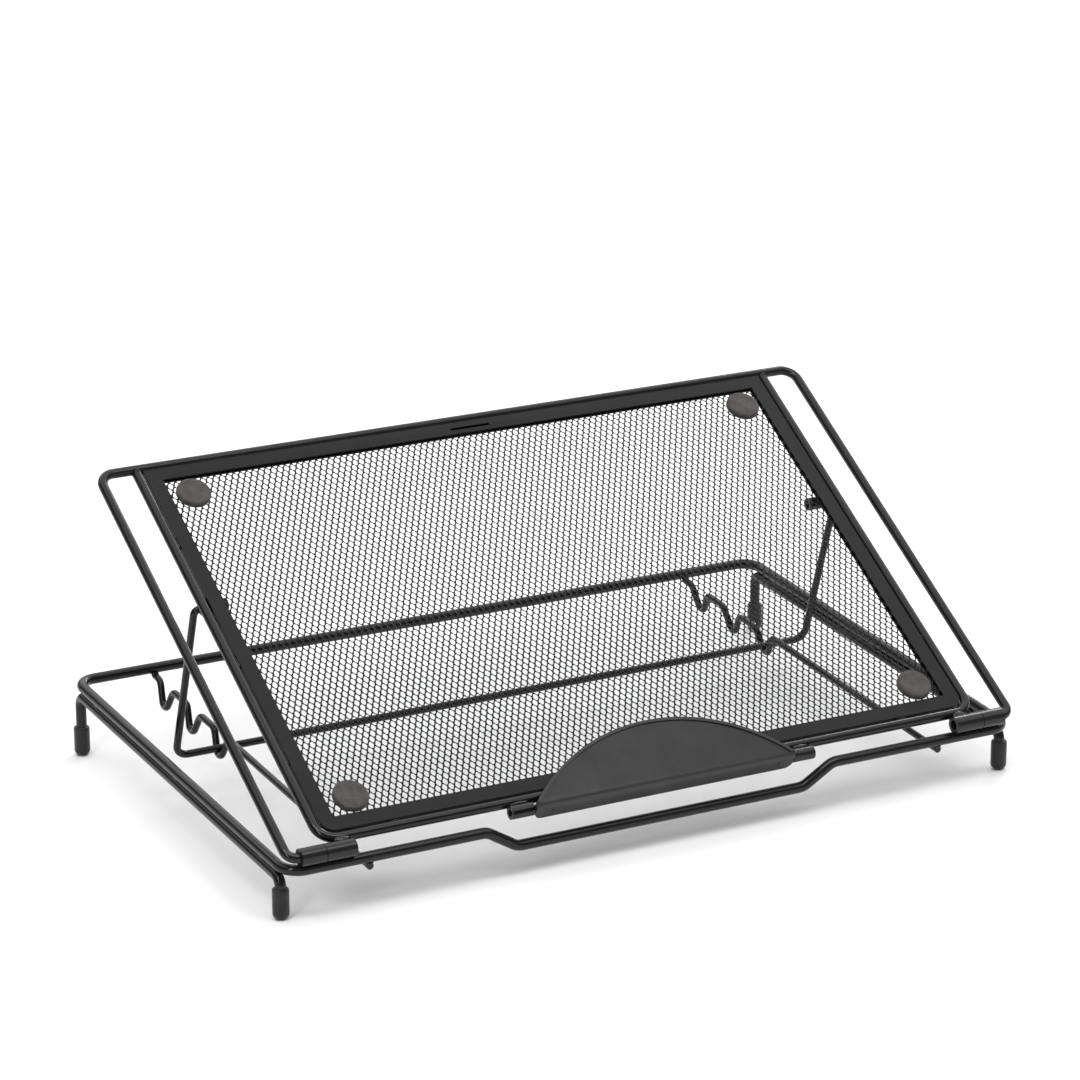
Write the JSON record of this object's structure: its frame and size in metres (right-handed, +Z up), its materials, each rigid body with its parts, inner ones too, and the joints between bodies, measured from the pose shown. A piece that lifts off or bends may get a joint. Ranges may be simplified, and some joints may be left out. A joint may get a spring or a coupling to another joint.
{
  "type": "folding laptop stand",
  "caption": "Black wire laptop stand with a tilting mesh platform, a ratchet bail, a flip-up front lip and capped feet.",
  "frame": {"origin": "middle of the footprint's bounding box, on the floor under the feet", "axes": "+Z up, +X along the hinge line to the right seen from the front, +Y from the front hinge to the raised rear"},
  "size_m": [0.3724, 0.2368, 0.1466],
  "materials": {
    "coated_wire": "satin",
    "coated_sheet": "satin",
    "coated_lip": "satin",
    "coated_mesh": "satin",
    "foot_rubber": "matte",
    "pad_rubber": "matte"
  },
  "bodies": {
    "base": {"base_loop_wire": "coated_wire", "leg_wire_left": "coated_wire", "foot_cap_front_left": "foot_rubber", "foot_cap_rear_left": "foot_rubber", "ratchet_wire_left": "coated_wire", "base_hinge_barrel_left": "coated_wire", "leg_wire_right": "coated_wire", "foot_cap_front_right": "foot_rubber", "foot_cap_rear_right": "foot_rubber", "ratchet_wire_right": "coated_wire", "base_hinge_barrel_right": "coated_wire"},
    "platform": {"platform_outer_wire": "coated_wire", "platform_inner_wire": "coated_wire", "mesh_sheet": "coated_mesh", "platform_hinge_barrel_left": "coated_wire", "support_sleeve_left": "coated_wire", "lip_sleeve_left": "coated_wire", "pad_front_left": "pad_rubber", "pad_rear_left": "pad_rubber", "platform_hinge_barrel_right": "coated_wire", "support_sleeve_right": "coated_wire", "lip_sleeve_right": "coated_wire", "pad_front_right": "pad_rubber", "pad_rear_right": "pad_rubber", "border_strip_left": "coated_sheet", "border_strip_right": "coated_sheet", "border_strip_top": "coated_sheet", "border_strip_bottom": "coated_sheet"},
    "support": {"support_bail_wire": "coated_wire"},
    "lip": {"lip_plate": "coated_lip", "lip_pivot_rod": "coated_wire"}
  },
  "joints": [
    {"name": "platform_tilt", "type": "hinge", "parent": "base", "child": "platform", "pos_m": [0, -0.11437, 0.02956], "axis": [1, 0, 0], "range_deg": [0, 102.4]},
    {"name": "support_swing", "type": "hinge", "parent": "platform", "child": "support", "pos_m": [0, 0.01364, 0.09873], "axis": [1, 0, 0], "range_deg": [0, 102.4]},
    {"name": "lip_flip", "type": "hinge", "parent": "platform", "child": "lip", "pos_m": [0, -0.11339, 0.03013], "axis": [1, 0, 0], "range_deg": [-15, 78]}
  ],
  "couplings": [
    {"joint": "support_swing", "follows": "platform_tilt", "ratio": 1}
  ]
}
